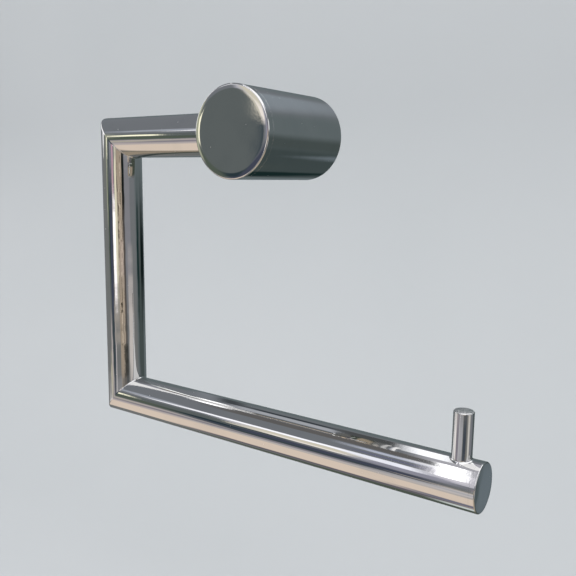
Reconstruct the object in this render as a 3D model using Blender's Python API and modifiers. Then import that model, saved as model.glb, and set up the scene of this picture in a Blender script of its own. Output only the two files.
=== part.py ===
"""Toilet roll holder for a wall: a round boss, and a tube arm mitred into an open C that carries the roll.

Metres, +Z up. The wall is the plane Y = 0 and the room lies on its -Y side. The origin is the centre of
the boss's back face, so the boss's axis runs along Y. Seen from the room, the arm leaves the boss to the
left (-X), drops straight down and returns to the right (+X) as the roll bar.
"""

from math import pi, radians, sin, cos, sqrt

import bpy
import bmesh
from mathutils import Vector

# Clearances
FIT_GAP = 0.0003
OVERRUN = 0.002

# Boss
BOSS_DIAMETER = 0.032
BOSS_LENGTH = 0.0465
BOSS_WALL = 0.0025
BACK_CHAMFER = 0.0005

# Front cap
CAP_THICKNESS = 0.003
CAP_DOME = 0.0004
CAP_EDGE_RADIUS = 0.0009
CAP_STUD_DIAMETER = 0.005
CAP_STUD_LENGTH = 0.009
CAP_STUD_CHAMFER = 0.0005

# Tubes of the arm
TUBE_DIAMETER = 0.016
TUBE_WALL = 0.0015
ARM_BEHIND_CAP = 0.002
ARM_REACH = 0.068
ARM_DROP = 0.1075
BAR_REACH = 0.089

# Core inside the boss, and how the arm is held in it
CORE_TO_BRACKET = 0.003
CORE_CHAMFER = 0.0006
ARM_END_FROM_AXIS = 0.005
STUD_HOLE_EXTRA = 0.0005
INSERT_LENGTH = 0.014
INSERT_CHAMFER = 0.0005
CLAMP_SCREW_DIAMETER = 0.006
CLAMP_SCREW_SUNK = 0.0012
CLAMP_SCREW_TO_SIDE = 0.001
CLAMP_SCREW_KEY = 0.003
CLAMP_SCREW_KEY_SHARE = 0.44
CLAMP_SCREW_CHAMFER = 0.0005

# Bracket on the wall
BRACKET_SHARE = 0.28
BRACKET_FLOOR = 0.003
BRACKET_RIM = 0.0035
GROOVE_DEPTH = 0.0016
WALL_HOLE_DIAMETER = 0.0044
WALL_HOLE_SINK_DIAMETER = 0.008
WALL_HOLE_TO_RIM = 0.0002

# Set screw that locks the boss on the bracket
SET_SCREW_DIAMETER = 0.004
SET_SCREW_FROM_WALL = 0.007
SET_SCREW_SUNK = 0.0002
SET_SCREW_KEY = 0.002
SET_SCREW_KEY_DEPTH = 0.0018
SET_SCREW_CHAMFER = 0.0003

# Plug that closes the roll bar
PLUG_LIP = 0.002
PLUG_EDGE = 0.0004
PLUG_SPIGOT_LENGTH = 0.014
PLUG_SPIGOT_CHAMFER = 0.0005

# Pin that stops the roll
PIN_DIAMETER = 0.0064
PIN_HEIGHT = 0.0153
PIN_FROM_END = 0.0075
PIN_EDGE = 0.0004
PIN_SEAT_DEPTH = 0.0009
PIN_SHANK_DIAMETER = 0.004
PIN_SHANK_FLOOR = 0.0026
PIN_SHANK_CHAMFER = 0.0004

# Facets round each kind of piece
BOSS_STEPS = 72
TUBE_STEPS = 48
SMALL_STEPS = 32
DOME_STEPS = 6
EDGE_STEPS = 4

# Mesh settings
MERGE = 0.00001
SHARP_ANGLE = radians(30)

# Worked out from the sizes above
BOSS_RADIUS = BOSS_DIAMETER / 2
BOSS_BORE = BOSS_RADIUS - BOSS_WALL
TUBE_RADIUS = TUBE_DIAMETER / 2
TUBE_BORE = TUBE_RADIUS - TUBE_WALL
CAP_BACK = BOSS_LENGTH - CAP_THICKNESS
SLEEVE_FRONT = CAP_BACK - FIT_GAP
INNER_RADIUS = BOSS_BORE - FIT_GAP
ARM_FROM_WALL = CAP_BACK - ARM_BEHIND_CAP - TUBE_RADIUS
BRACKET_DEPTH = BOSS_LENGTH * BRACKET_SHARE
CORE_FROM_WALL = BRACKET_DEPTH + CORE_TO_BRACKET
CLAMP_SCREW_FROM_AXIS = INNER_RADIUS - CLAMP_SCREW_TO_SIDE - CLAMP_SCREW_DIAMETER / 2
PLUG_RADIUS = TUBE_BORE - FIT_GAP
PLUG_FACE = BAR_REACH - PLUG_LIP
PIN_REACH = BAR_REACH - PIN_FROM_END
PIN_SHOULDER = TUBE_RADIUS - PIN_SEAT_DEPTH + FIT_GAP
PIN_FOOT = PIN_SHANK_FLOOR - PLUG_RADIUS
UPPER_CORNER = Vector((-ARM_REACH, -ARM_FROM_WALL, 0))
LOWER_CORNER = Vector((-ARM_REACH, -ARM_FROM_WALL, -ARM_DROP))
BAR_LINE = Vector((0, -ARM_FROM_WALL, -ARM_DROP))
PIN_FOOTPRINT = Vector((PIN_REACH, -ARM_FROM_WALL, -ARM_DROP))

# Turned pieces are drawn upright, then turned to their own direction
UPRIGHT = (0, 0, 0)
OUT_OF_WALL = (pi / 2, 0, 0)
TO_THE_RIGHT = (0, pi / 2, 0)
DOWNWARDS = (pi, 0, 0)


def clear_scene():
    for obj in list(bpy.data.objects):
        bpy.data.objects.remove(obj, do_unlink=True)


def collection(name):
    made = bpy.data.collections.new(name)
    bpy.context.scene.collection.children.link(made)
    return made


def metal(name, colour, roughness):
    material = bpy.data.materials.new(name)
    material.use_nodes = True
    shader = material.node_tree.nodes["Principled BSDF"]
    shader.inputs["Base Color"].default_value = (*colour, 1)
    shader.inputs["Metallic"].default_value = 1
    shader.inputs["Roughness"].default_value = roughness
    material.diffuse_color = (*colour, 1)
    return material


clear_scene()
PARTS = collection("toilet_roll_holder")
CUTTERS = collection("cutters")
POLISHED = metal("polished_steel", (0.62, 0.62, 0.60), 0.06)
MACHINED = metal("machined_steel", (0.52, 0.52, 0.51), 0.32)
DARK_SCREW = metal("dark_screw_steel", (0.12, 0.12, 0.13), 0.38)

wall_face = bpy.data.objects.new("wall_face", None)
PARTS.objects.link(wall_face)


# Building blocks

def turned(name, outline, steps, place, direction, group=PARTS, ring=False):
    """Turns an outline of (radius, height) points about its axis; a ring's outline closes on itself."""
    mesh = bpy.data.meshes.new(name)
    points = [(radius, 0, height) for radius, height in outline]
    edges = [(i, i + 1) for i in range(len(points) - 1)]
    if ring:
        edges.append((len(points) - 1, 0))
    mesh.from_pydata(points, edges, [])
    obj = bpy.data.objects.new(name, mesh)
    obj.location = place
    obj.rotation_euler = direction
    group.objects.link(obj)
    screw = obj.modifiers.new("turn", "SCREW")
    screw.steps = screw.render_steps = steps
    screw.use_merge_vertices = True
    screw.merge_threshold = MERGE
    return obj


def guide(obj):
    """Marks an object as a cutter, which is no piece of the holder."""
    obj.hide_render = True
    obj.display_type = "WIRE"
    return obj


def round_cutter(name, radius, start, end, place, direction, steps=SMALL_STEPS):
    outline = [(0, end), (radius, end), (radius, start), (0, start)]
    return guide(turned(name, outline, steps, place, direction, group=CUTTERS))


def hex_cutter(name, across_flats, start, end, place, direction):
    corner = across_flats / sqrt(3)
    return round_cutter(name, corner, start, end, place, direction, steps=6)


def mitre_cutter(name, corner, removed_side):
    """A block that takes away all beyond the mitre plane, and half a gap before it."""
    side = TUBE_DIAMETER * 2
    away = Vector(removed_side).normalized()
    mesh = bpy.data.meshes.new(name)
    shape = bmesh.new()
    bmesh.ops.create_cube(shape, size=side * 2)
    shape.to_mesh(mesh)
    shape.free()
    obj = bpy.data.objects.new(name, mesh)
    obj.location = corner + away * (side - FIT_GAP / 2)
    obj.rotation_euler = away.to_track_quat("Z", "Y").to_euler()
    CUTTERS.objects.link(obj)
    return guide(obj)


def cut(obj, *cutters):
    for cutter in cutters:
        boolean = obj.modifiers.new(cutter.name, "BOOLEAN")
        boolean.operation = "DIFFERENCE"
        boolean.solver = "EXACT"
        boolean.object = cutter


def tube(name, start, end, place, direction):
    outline = [(TUBE_BORE, end), (TUBE_RADIUS, end), (TUBE_RADIUS, start), (TUBE_BORE, start)]
    return turned(name, outline, TUBE_STEPS, place, direction, ring=True)


def arc(centre, radius, first_angle, last_angle, steps):
    """Points on a circle of the outline's plane, from the first angle to the last."""
    points = []
    for i in range(steps + 1):
        angle = first_angle + (last_angle - first_angle) * i / steps
        points.append((centre[0] + radius * cos(angle), centre[1] + radius * sin(angle)))
    return points


# Boss

def make_boss_sleeve():
    outline = [
        (BOSS_BORE, SLEEVE_FRONT),
        (BOSS_RADIUS, SLEEVE_FRONT),
        (BOSS_RADIUS, BACK_CHAMFER),
        (BOSS_RADIUS - BACK_CHAMFER, 0),
        (BOSS_BORE, 0),
    ]
    sleeve = turned("boss_sleeve", outline, BOSS_STEPS, (0, 0, 0), OUT_OF_WALL, ring=True)
    arm_hole = round_cutter("sleeve_arm_hole", TUBE_RADIUS + FIT_GAP, -BOSS_RADIUS - OVERRUN, 0,
                            (0, -ARM_FROM_WALL, 0), TO_THE_RIGHT, TUBE_STEPS)
    screw_hole = round_cutter("sleeve_screw_hole", SET_SCREW_DIAMETER / 2 + FIT_GAP,
                              0, BOSS_RADIUS + OVERRUN, (0, -SET_SCREW_FROM_WALL, 0), DOWNWARDS)
    cut(sleeve, arm_hole, screw_hole)
    return sleeve


def make_boss_front_cap():
    """Slightly domed disc with a rounded rim, on a stud that screws into the core."""
    rim = BOSS_RADIUS - CAP_EDGE_RADIUS
    dome_radius = (rim ** 2 + CAP_DOME ** 2) / (2 * CAP_DOME)
    dome_angle = 2 * CAP_DOME / rim
    outline = arc((0, BOSS_LENGTH - dome_radius), dome_radius, pi / 2, pi / 2 - dome_angle, DOME_STEPS)
    edge_centre = (rim, BOSS_LENGTH - CAP_DOME - CAP_EDGE_RADIUS)
    outline += arc(edge_centre, CAP_EDGE_RADIUS, pi / 2, 0, EDGE_STEPS)[1:]
    stud = CAP_STUD_DIAMETER / 2
    stud_end = CAP_BACK - CAP_STUD_LENGTH
    outline += [
        (BOSS_RADIUS, CAP_BACK),
        (stud, CAP_BACK),
        (stud, stud_end + CAP_STUD_CHAMFER),
        (stud - CAP_STUD_CHAMFER, stud_end),
        (0, stud_end),
    ]
    outline[0] = (0, BOSS_LENGTH)
    return turned("boss_front_cap", outline, BOSS_STEPS, (0, 0, 0), OUT_OF_WALL)


def make_boss_core():
    """Turned block with the arm's cross bore, the cap's threaded hole and the clamp screw's hole."""
    stud_bore = CAP_STUD_DIAMETER / 2 + FIT_GAP
    stud_floor = CAP_BACK - CAP_STUD_LENGTH - STUD_HOLE_EXTRA
    outline = [
        (0, stud_floor),
        (stud_bore, stud_floor),
        (stud_bore, SLEEVE_FRONT),
        (INNER_RADIUS - CORE_CHAMFER, SLEEVE_FRONT),
        (INNER_RADIUS, SLEEVE_FRONT - CORE_CHAMFER),
        (INNER_RADIUS, CORE_FROM_WALL + CORE_CHAMFER),
        (INNER_RADIUS - CORE_CHAMFER, CORE_FROM_WALL),
        (0, CORE_FROM_WALL),
    ]
    core = turned("boss_core", outline, BOSS_STEPS, (0, 0, 0), OUT_OF_WALL)
    arm_bore = round_cutter("core_arm_bore", TUBE_RADIUS + FIT_GAP, -BOSS_RADIUS - OVERRUN,
                            FIT_GAP - ARM_END_FROM_AXIS, (0, -ARM_FROM_WALL, 0), TO_THE_RIGHT,
                            TUBE_STEPS)
    clamp_hole = round_cutter("core_clamp_hole", CLAMP_SCREW_DIAMETER / 2 + FIT_GAP,
                              CORE_FROM_WALL - OVERRUN, ARM_FROM_WALL,
                              (-CLAMP_SCREW_FROM_AXIS, 0, 0), OUT_OF_WALL)
    cut(core, arm_bore, clamp_hole)
    return core


def make_arm_clamp_screw():
    """Grub screw along Y; its flat point bears on the arm's back, its hexagon socket faces the wall."""
    radius = CLAMP_SCREW_DIAMETER / 2
    point = ARM_FROM_WALL - TUBE_RADIUS - FIT_GAP
    head = CORE_FROM_WALL + CLAMP_SCREW_SUNK
    key_floor = head + (point - head) * CLAMP_SCREW_KEY_SHARE
    outline = [
        (0, point),
        (radius - CLAMP_SCREW_CHAMFER, point),
        (radius, point - CLAMP_SCREW_CHAMFER),
        (radius, head + CLAMP_SCREW_CHAMFER),
        (radius - CLAMP_SCREW_CHAMFER, head),
        (0, head),
    ]
    place = (-CLAMP_SCREW_FROM_AXIS, 0, 0)
    screw = turned("arm_clamp_screw", outline, SMALL_STEPS, place, OUT_OF_WALL)
    socket = hex_cutter("clamp_screw_socket", CLAMP_SCREW_KEY, head - OVERRUN, key_floor,
                        place, OUT_OF_WALL)
    cut(screw, socket)
    return screw


# Bracket on the wall and the screw that locks the boss on it

def make_wall_bracket():
    """Turned cup: two sunk holes in its floor for the wall screws, and a groove for the set screw."""
    top_of_groove = SET_SCREW_FROM_WALL + GROOVE_DEPTH
    foot_of_groove = SET_SCREW_FROM_WALL - GROOVE_DEPTH
    cup = INNER_RADIUS - BRACKET_RIM
    outline = [
        (0, BRACKET_FLOOR),
        (cup, BRACKET_FLOOR),
        (cup, BRACKET_DEPTH),
        (INNER_RADIUS, BRACKET_DEPTH),
        (INNER_RADIUS, top_of_groove),
        (INNER_RADIUS - GROOVE_DEPTH, SET_SCREW_FROM_WALL),
        (INNER_RADIUS, foot_of_groove),
        (INNER_RADIUS, 0),
        (0, 0),
    ]
    bracket = turned("wall_bracket", outline, BOSS_STEPS, (0, 0, 0), OUT_OF_WALL)
    hole = WALL_HOLE_DIAMETER / 2
    sink = WALL_HOLE_SINK_DIAMETER / 2
    cone = [
        (0, BRACKET_FLOOR + OVERRUN),
        (sink, BRACKET_FLOOR + OVERRUN),
        (sink, BRACKET_FLOOR),
        (hole, BRACKET_FLOOR - (sink - hole)),
        (hole, -OVERRUN),
        (0, -OVERRUN),
    ]
    for side, name in ((1, "upper"), (-1, "lower")):
        place = (0, 0, side * (cup - WALL_HOLE_TO_RIM - sink))
        cut(bracket, guide(turned(f"wall_hole_{name}", cone, SMALL_STEPS, place, OUT_OF_WALL, CUTTERS)))
    return bracket


def make_boss_set_screw():
    """Cone-point grub screw from below: drawn as distance from the boss's axis, then turned down."""
    radius = SET_SCREW_DIAMETER / 2
    point = INNER_RADIUS - GROOVE_DEPTH + FIT_GAP
    head = BOSS_RADIUS - SET_SCREW_SUNK
    outline = [
        (0, head),
        (radius - SET_SCREW_CHAMFER, head),
        (radius, head - SET_SCREW_CHAMFER),
        (radius, point + radius),
        (0, point),
    ]
    place = (0, -SET_SCREW_FROM_WALL, 0)
    screw = turned("boss_set_screw", outline, SMALL_STEPS, place, DOWNWARDS)
    socket = hex_cutter("set_screw_socket", SET_SCREW_KEY, head - SET_SCREW_KEY_DEPTH,
                        head + OVERRUN, place, DOWNWARDS)
    cut(screw, socket)
    return screw


# Arm: three tubes mitred at 45 degrees

def make_upper_arm_tube():
    arm = tube("upper_arm_tube", -ARM_REACH - TUBE_DIAMETER, -ARM_END_FROM_AXIS,
               (0, -ARM_FROM_WALL, 0), TO_THE_RIGHT)
    cut(arm, mitre_cutter("upper_arm_mitre", UPPER_CORNER, (-1, 0, -1)))
    return arm


def make_arm_insert():
    """Solid plug that keeps the clamp screw from denting the arm's end."""
    radius = TUBE_BORE - FIT_GAP
    inner_end = -ARM_END_FROM_AXIS - INSERT_LENGTH
    outline = [
        (0, -ARM_END_FROM_AXIS),
        (radius, -ARM_END_FROM_AXIS),
        (radius, inner_end + INSERT_CHAMFER),
        (radius - INSERT_CHAMFER, inner_end),
        (0, inner_end),
    ]
    return turned("arm_insert", outline, TUBE_STEPS, (0, -ARM_FROM_WALL, 0), TO_THE_RIGHT)


def make_drop_tube():
    drop = tube("drop_tube", -ARM_DROP - TUBE_DIAMETER, TUBE_DIAMETER, UPPER_CORNER, UPRIGHT)
    upper = mitre_cutter("drop_upper_mitre", UPPER_CORNER, (1, 0, 1))
    lower = mitre_cutter("drop_lower_mitre", LOWER_CORNER, (1, 0, -1))
    cut(drop, upper, lower)
    return drop


def make_roll_bar():
    bar = tube("roll_bar", -ARM_REACH - TUBE_DIAMETER, PLUG_FACE - FIT_GAP, BAR_LINE, TO_THE_RIGHT)
    seat = round_cutter("pin_seat", PIN_DIAMETER / 2 + FIT_GAP, TUBE_RADIUS - PIN_SEAT_DEPTH,
                        TUBE_RADIUS + OVERRUN, PIN_FOOTPRINT, UPRIGHT)
    shank_hole = round_cutter("bar_shank_hole", PIN_SHANK_DIAMETER / 2 + FIT_GAP, 0, TUBE_RADIUS,
                              PIN_FOOTPRINT, UPRIGHT)
    cut(bar, mitre_cutter("roll_bar_mitre", LOWER_CORNER, (-1, 0, 1)), seat, shank_hole)
    return bar


def make_bar_end_plug():
    """Disc that closes the bar, with a spigot that the stop pin's shank passes through."""
    inner_end = PLUG_FACE - PLUG_SPIGOT_LENGTH
    outline = [
        (0, BAR_REACH),
        (TUBE_RADIUS - PLUG_EDGE, BAR_REACH),
        (TUBE_RADIUS, BAR_REACH - PLUG_EDGE),
        (TUBE_RADIUS, PLUG_FACE),
        (PLUG_RADIUS, PLUG_FACE),
        (PLUG_RADIUS, inner_end + PLUG_SPIGOT_CHAMFER),
        (PLUG_RADIUS - PLUG_SPIGOT_CHAMFER, inner_end),
        (0, inner_end),
    ]
    plug = turned("bar_end_plug", outline, TUBE_STEPS, BAR_LINE, TO_THE_RIGHT)
    shank_hole = round_cutter("plug_shank_hole", PIN_SHANK_DIAMETER / 2 + FIT_GAP,
                              PIN_FOOT - FIT_GAP, TUBE_RADIUS, PIN_FOOTPRINT, UPRIGHT)
    cut(plug, shank_hole)
    return plug


def make_stop_pin():
    """Upright pin: its shoulder stands in a round seat in the bar, its shank goes into the end plug."""
    radius = PIN_DIAMETER / 2
    shank = PIN_SHANK_DIAMETER / 2
    top = TUBE_RADIUS + PIN_HEIGHT
    outline = [
        (0, top),
        (radius - PIN_EDGE, top),
        (radius, top - PIN_EDGE),
        (radius, PIN_SHOULDER),
        (shank, PIN_SHOULDER),
        (shank, PIN_FOOT + PIN_SHANK_CHAMFER),
        (shank - PIN_SHANK_CHAMFER, PIN_FOOT),
        (0, PIN_FOOT),
    ]
    return turned("stop_pin", outline, SMALL_STEPS, PIN_FOOTPRINT, UPRIGHT)


# Finishing

def settle(obj, material):
    """Turns the modifiers' result into the object's own mesh, smooth except at its real edges."""
    evaluated = obj.evaluated_get(bpy.context.evaluated_depsgraph_get())
    mesh = bpy.data.meshes.new_from_object(evaluated)
    mesh.name = obj.name
    obj.modifiers.clear()
    obj.data = mesh
    mesh.materials.clear()
    mesh.materials.append(material)
    mesh.shade_smooth()
    mesh.set_sharp_from_angle(angle=SHARP_ANGLE)
    obj.parent = wall_face


pieces = [
    (make_boss_sleeve(), POLISHED),
    (make_boss_front_cap(), POLISHED),
    (make_boss_core(), MACHINED),
    (make_arm_clamp_screw(), DARK_SCREW),
    (make_wall_bracket(), MACHINED),
    (make_boss_set_screw(), DARK_SCREW),
    (make_upper_arm_tube(), POLISHED),
    (make_arm_insert(), MACHINED),
    (make_drop_tube(), POLISHED),
    (make_roll_bar(), POLISHED),
    (make_bar_end_plug(), POLISHED),
    (make_stop_pin(), POLISHED),
]
bpy.context.view_layer.update()
for piece, material in pieces:
    settle(piece, material)
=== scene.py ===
# %% [markdown]
# # A toilet roll holder in polished steel
# The real holder is a short round boss on the wall, three steel tubes mitred and welded into an open C,
# a closing plate at the free end and a small pin that keeps the roll on. The solids of the holder are
# loaded first. Everything that is seen is then drawn again with finer edges, in the same place and in
# metres, because a mirror finish shows every facet of a coarse mesh.

# %% Load the frame
from math import atan2, cos, pi, radians, sin, sqrt

import bpy
from mathutils import Matrix, Vector
from mathutils.bvhtree import BVHTree
from mathutils.interpolate import poly_3d_calc


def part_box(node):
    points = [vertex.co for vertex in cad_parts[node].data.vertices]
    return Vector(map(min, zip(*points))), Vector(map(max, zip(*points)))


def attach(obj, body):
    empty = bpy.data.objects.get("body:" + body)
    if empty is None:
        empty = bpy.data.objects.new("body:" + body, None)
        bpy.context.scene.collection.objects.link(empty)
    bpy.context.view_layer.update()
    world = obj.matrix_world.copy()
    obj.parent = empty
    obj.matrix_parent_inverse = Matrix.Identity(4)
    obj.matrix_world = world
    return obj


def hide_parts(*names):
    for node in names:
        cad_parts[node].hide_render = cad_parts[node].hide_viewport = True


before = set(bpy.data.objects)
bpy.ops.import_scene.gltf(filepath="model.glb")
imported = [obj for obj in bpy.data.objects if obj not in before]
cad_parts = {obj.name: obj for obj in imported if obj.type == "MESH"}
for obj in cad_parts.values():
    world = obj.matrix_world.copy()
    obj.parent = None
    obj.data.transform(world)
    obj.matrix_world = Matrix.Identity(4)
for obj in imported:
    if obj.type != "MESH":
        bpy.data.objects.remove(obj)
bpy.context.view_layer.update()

MM = 0.001

# %% [markdown]
# ## The camera
# The photograph looks at the holder from the right and a little above, from a quarter of a metre away.
# A camera so near makes the free end look larger than the far corner, so the distance matters as much as
# the direction. The lens is given for a picture as high as it is wide. A Track To constraint would aim the
# camera too, but a turn, a tilt and a lean can put each edge where the photograph has it.

# %% Camera
CAMERA_PLACE = Vector((0.15302, -0.23115, -0.01446))
CAMERA_TURN, CAMERA_TILT, CAMERA_LEAN = 34.834, -9.172, -0.718
CAMERA_LENS, CAMERA_SENSOR = 43.383, 36
CAMERA_NEAREST = 0.01

camera = bpy.data.objects.new("camera", bpy.data.cameras.new("camera"))
bpy.context.scene.collection.objects.link(camera)
camera.data.lens = CAMERA_LENS
camera.data.sensor_width = CAMERA_SENSOR
camera.data.clip_start = CAMERA_NEAREST
turn = Matrix.Rotation(radians(CAMERA_TURN), 4, "Z")
tilt = Matrix.Rotation(radians(CAMERA_TILT), 4, "X")
lean = Matrix.Rotation(radians(CAMERA_LEAN), 4, "Y")
upright = Matrix.Rotation(radians(90), 4, "X")
camera.matrix_world = Matrix.Translation(CAMERA_PLACE) @ turn @ tilt @ lean @ upright
bpy.context.scene.camera = camera
bpy.context.scene.view_settings.view_transform = "Standard"
print("camera at", [round(value / MM) for value in CAMERA_PLACE], "mm")

# %% [markdown]
# ## Sums with sockets
# A finish is a sum of noises and masks. Its nodes could be added and linked one by one, but they are easier
# to read as sums, so a small class holds an output socket and adds a Math node whenever it is used with
# +, - or *. Any other node comes from one method that takes the node's type, its settings and what feeds it.

# %% A socket that can be used in sums


class Wire:
    """An output socket; 1 - mask, mask * 2 and so on add the Math nodes that work it out."""

    def __init__(self, sheet, socket):
        self.sheet, self.socket = sheet, socket

    def output(self, name):
        """Another output of the same node."""
        return Wire(self.sheet, self.socket.node.outputs[name])

    def math(self, operation, *values):
        return self.sheet.add("ShaderNodeMath", {"operation": operation}, dict(enumerate(values)))

    def __add__(self, other):
        return self.math("ADD", self, other)

    def __radd__(self, other):
        return self.math("ADD", other, self)

    def __sub__(self, other):
        return self.math("SUBTRACT", self, other)

    def __rsub__(self, other):
        return self.math("SUBTRACT", other, self)

    def __mul__(self, other):
        return self.math("MULTIPLY", self, other)

    def __rmul__(self, other):
        return self.math("MULTIPLY", other, self)

    def above(self, low, high):
        """0 below low, 1 above high and a smooth step between them."""
        return self.sheet.add("ShaderNodeMapRange", {"interpolation_type": "SMOOTHSTEP"},
                              {"Value": self, "From Min": low, "From Max": high})


print("a Wire can be added, taken away, multiplied and stepped")

# %% A sheet of nodes


class Sheet:
    """The node tree of a material or of the world, with one method for every kind of node."""

    def __init__(self, tree):
        self.tree = tree

    def add(self, kind, settings=None, inputs=None, output=0):
        node = self.tree.nodes.new(kind)
        for name, value in (settings or {}).items():
            setattr(node, name, value)
        for name, value in (inputs or {}).items():
            self.feed(node.inputs[name], value)
        return Wire(self, node.outputs[output])

    def feed(self, socket, value):
        if isinstance(value, Wire):
            self.tree.links.new(value.socket, socket)
        else:
            socket.default_value = value

    def mixed(self, share, first, second):
        """A colour between two colours."""
        return self.add("ShaderNodeMix", {"data_type": "RGBA"}, {0: share, 6: first, 7: second}, output=2)


def finish(name, **constants):
    """A new material: its sheet, its shader's inputs and the material, with the constants set."""
    material = bpy.data.materials.new(name)
    material.use_nodes = True
    shader = material.node_tree.nodes["Principled BSDF"]
    for socket, value in constants.items():
        shader.inputs[socket].default_value = value
    return Sheet(material.node_tree), shader.inputs, material


print("a Sheet adds nodes, feeds sockets and mixes colours")

# %% [markdown]
# ## Skins made of strips
# Turned and tubular pieces are skins: rings of points joined by four-sided faces. A Screw modifier or a
# bevelled curve would give the same points, but it works out the direction of the surface from its facets.
# A mirror shows that direction more than the place, so each ring here also carries the true direction at
# each point, and the mesh gets these as its own normals. Strips that meet at an edge keep their own
# directions, which leaves the edge crisp.

# %% Strips to mesh
MERGE_DIGITS = 8


def shown_mesh(name, points, faces, normals):
    """An object in the scene, shaded smooth, with its own direction at each corner of each face."""
    mesh = bpy.data.meshes.new(name)
    mesh.from_pydata(points, [], faces)
    mesh.validate()
    mesh.shade_smooth()
    mesh.normals_split_custom_set([tuple(normal.normalized()) for normal in normals])
    obj = bpy.data.objects.new(name, mesh)
    bpy.context.scene.collection.objects.link(obj)
    return obj


def skin(name, strips):
    """One closed mesh from strips; a strip is a list of rings, and a ring a list of (point, normal)."""
    numbers, points, faces, normals = {}, [], [], []

    def number(point):
        key = tuple(round(value, MERGE_DIGITS) for value in point)
        if key not in numbers:
            numbers[key] = len(points)
            points.append(point)
        return numbers[key]

    for rings in strips:
        for near, far in zip(rings, rings[1:]):
            for i in range(len(near)):
                j = (i + 1) % len(near)
                corners = []
                for point, normal in (near[i], near[j], far[j], far[i]):
                    index = number(point)
                    if index not in [known for known, _ in corners]:
                        corners.append((index, normal))
                if len(corners) < 3:
                    continue
                first, second, third = (points[index] for index, _ in corners[:3])
                flat = (second - first).cross(third - first)
                if flat.dot(sum((normal for _, normal in corners), Vector())) < 0:
                    corners.reverse()
                faces.append([index for index, _ in corners])
                normals += [normal for _, normal in corners]
    return shown_mesh(name, points, faces, normals)


print("points nearer than", 10 ** -MERGE_DIGITS / MM, "mm become one")

# %% [markdown]
# A turned piece is drawn as strokes of its outline, in (radius, height) with the direction at each point:
# straight lines, arcs and curves that follow a formula. Turning a stroke about an axis gives a strip.

# %% Strokes of an outline
SLOPE_STEP = 1e-7


def line(start, end, parts=1):
    """A straight stroke; its direction points to the left of the way from start to end."""
    along = Vector(end) - Vector(start)
    side = Vector((-along.y, along.x)).normalized()
    return [(Vector(start) + along * i / parts, side) for i in range(parts + 1)]


def lines(*corners):
    """Straight strokes from corner to corner."""
    return [line(start, end) for start, end in zip(corners, corners[1:])]


def arc(centre, radius, first, last, parts=8):
    """A round stroke from one angle to the other, in degrees, bulging outwards."""
    stroke = []
    for i in range(parts + 1):
        angle = radians(first + (last - first) * i / parts)
        out = Vector((cos(angle), sin(angle)))
        stroke.append((Vector(centre) + out * radius, out))
    return stroke


def curve(height, start, end, parts):
    """A smooth stroke from one radius to another, where height(radius) is the outline."""
    stroke = []
    for i in range(parts + 1):
        radius = start + (end - start) * i / parts
        inner, outer = max(radius - SLOPE_STEP, 0), radius + SLOPE_STEP
        slope = (height(outer) - height(inner)) / (outer - inner)
        stroke.append((Vector((radius, height(radius))), Vector((-slope, 1)).normalized()))
    return stroke


print("a quarter round has", len(arc((0, 0), MM, 90, 0)), "points")

# %% Turning strokes
BOSS_STEPS = 288
TUBE_STEPS = 192
SMALL_STEPS = 96


def frame_about(axis):
    """The axis and two directions square to it."""
    axis = Vector(axis).normalized()
    across = axis.orthogonal().normalized()
    return axis, across, axis.cross(across)


def turned_strips(strokes, place, axis, steps):
    """Turns each stroke about the axis through place."""
    axis, across, other = frame_about(axis)
    strips = []
    for stroke in strokes:
        rings = []
        for (radius, height), (out, up) in stroke:
            ring = []
            for i in range(steps):
                angle = 2 * pi * i / steps
                spoke = across * cos(angle) + other * sin(angle)
                ring.append((Vector(place) + spoke * radius + axis * height, spoke * out + axis * up))
            rings.append(ring)
        strips.append(rings)
    return strips


def turned(name, strokes, place, axis, steps):
    """A piece turned about the axis through place, with this many steps round it."""
    return skin(name, turned_strips(strokes, place, axis, steps))


def peg(radius, foot, top):
    """The outline of a plain round peg, used as a cutter."""
    return lines((0, top), (radius, top), (radius, foot), (0, foot))


print("steps round the boss, a tube and a small piece:", BOSS_STEPS, TUBE_STEPS, SMALL_STEPS)

# %% [markdown]
# Holes are cut with Blender's exact boolean, which knows nothing of the true directions. Each face of the
# result lies on a face of the piece or of a cutter, so the directions are read back from there.

# %% Cutting holes
NEARLY_CORNER = 0.01
SAME_PLANE = 0.98


def surface(obj, sense):
    """An object's faces for look-up; sense is 1 for the piece and -1 for a cutter, seen from inside."""
    mesh = obj.data
    points = [vertex.co.copy() for vertex in mesh.vertices]
    faces = [tuple(face.vertices) for face in mesh.polygons]
    starts = [face.loop_start for face in mesh.polygons]
    directions = [corner.vector.copy() for corner in mesh.corner_normals]
    return BVHTree.FromPolygons(points, faces), points, faces, starts, directions, sense


def direction_at(source, corner, centre):
    """The source's direction at a corner, read on the face that lies towards the centre."""
    tree, points, faces, starts, directions, sense = source
    index = tree.find_nearest(corner.lerp(centre, NEARLY_CORNER))[2]
    shares = poly_3d_calc([points[i] for i in faces[index]], corner)
    total = Vector()
    for i, share in enumerate(shares):
        total += directions[starts[index] + i] * share
    return total * sense


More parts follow.
